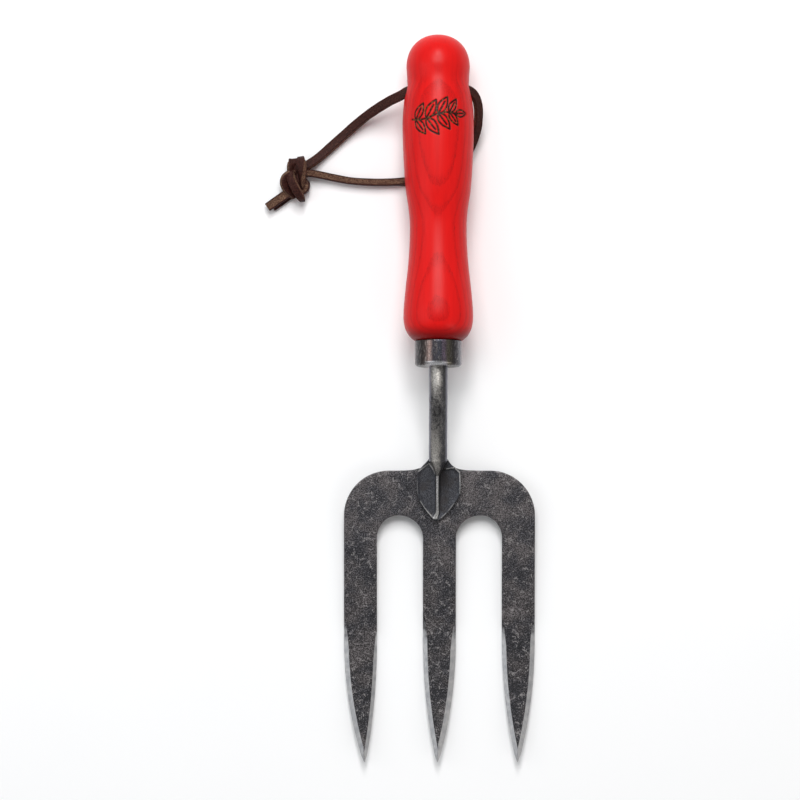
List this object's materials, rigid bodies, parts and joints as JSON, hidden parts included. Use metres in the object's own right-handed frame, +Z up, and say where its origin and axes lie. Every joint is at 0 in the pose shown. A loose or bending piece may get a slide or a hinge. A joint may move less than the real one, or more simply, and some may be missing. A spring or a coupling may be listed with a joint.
{
  "type": "garden hand fork",
  "caption": "Hand fork with a flat tined steel plate, a cranked round shank, a steel ferrule, a turned painted wood handle and a knotted leather wrist lace.",
  "frame": {"origin": "on the surface that the tool lies on, halfway between the butt and the points, on the line of the handle", "axes": "+Y to the butt of the handle, +X across the plate, +Z up out of the plate's front face; the tool lies on its back"},
  "size_m": [0.1201, 0.3201, 0.038],
  "materials": {
    "scale_steel": "dark mill scale, blasted, with light ground bevels on the tines",
    "forged_steel": "satin round bar, darker and rougher on the forged foot",
    "weld_metal": "dull weld metal",
    "ferrule_steel": "dark, glossy, heat-tinted steel",
    "lacquered_wood": "transparent red gloss lacquer over ash",
    "leather": "oiled dark brown grain with tan cut sides"
  },
  "bodies": {
    "root": {"fork_head": "scale_steel", "shank": "forged_steel", "weld_left": "weld_metal", "weld_right": "weld_metal", "weld_back": "weld_metal", "ferrule": "ferrule_steel", "handle": "lacquered_wood", "lace": "leather", "lace_knot": "leather"}
  },
  "joints": []
}
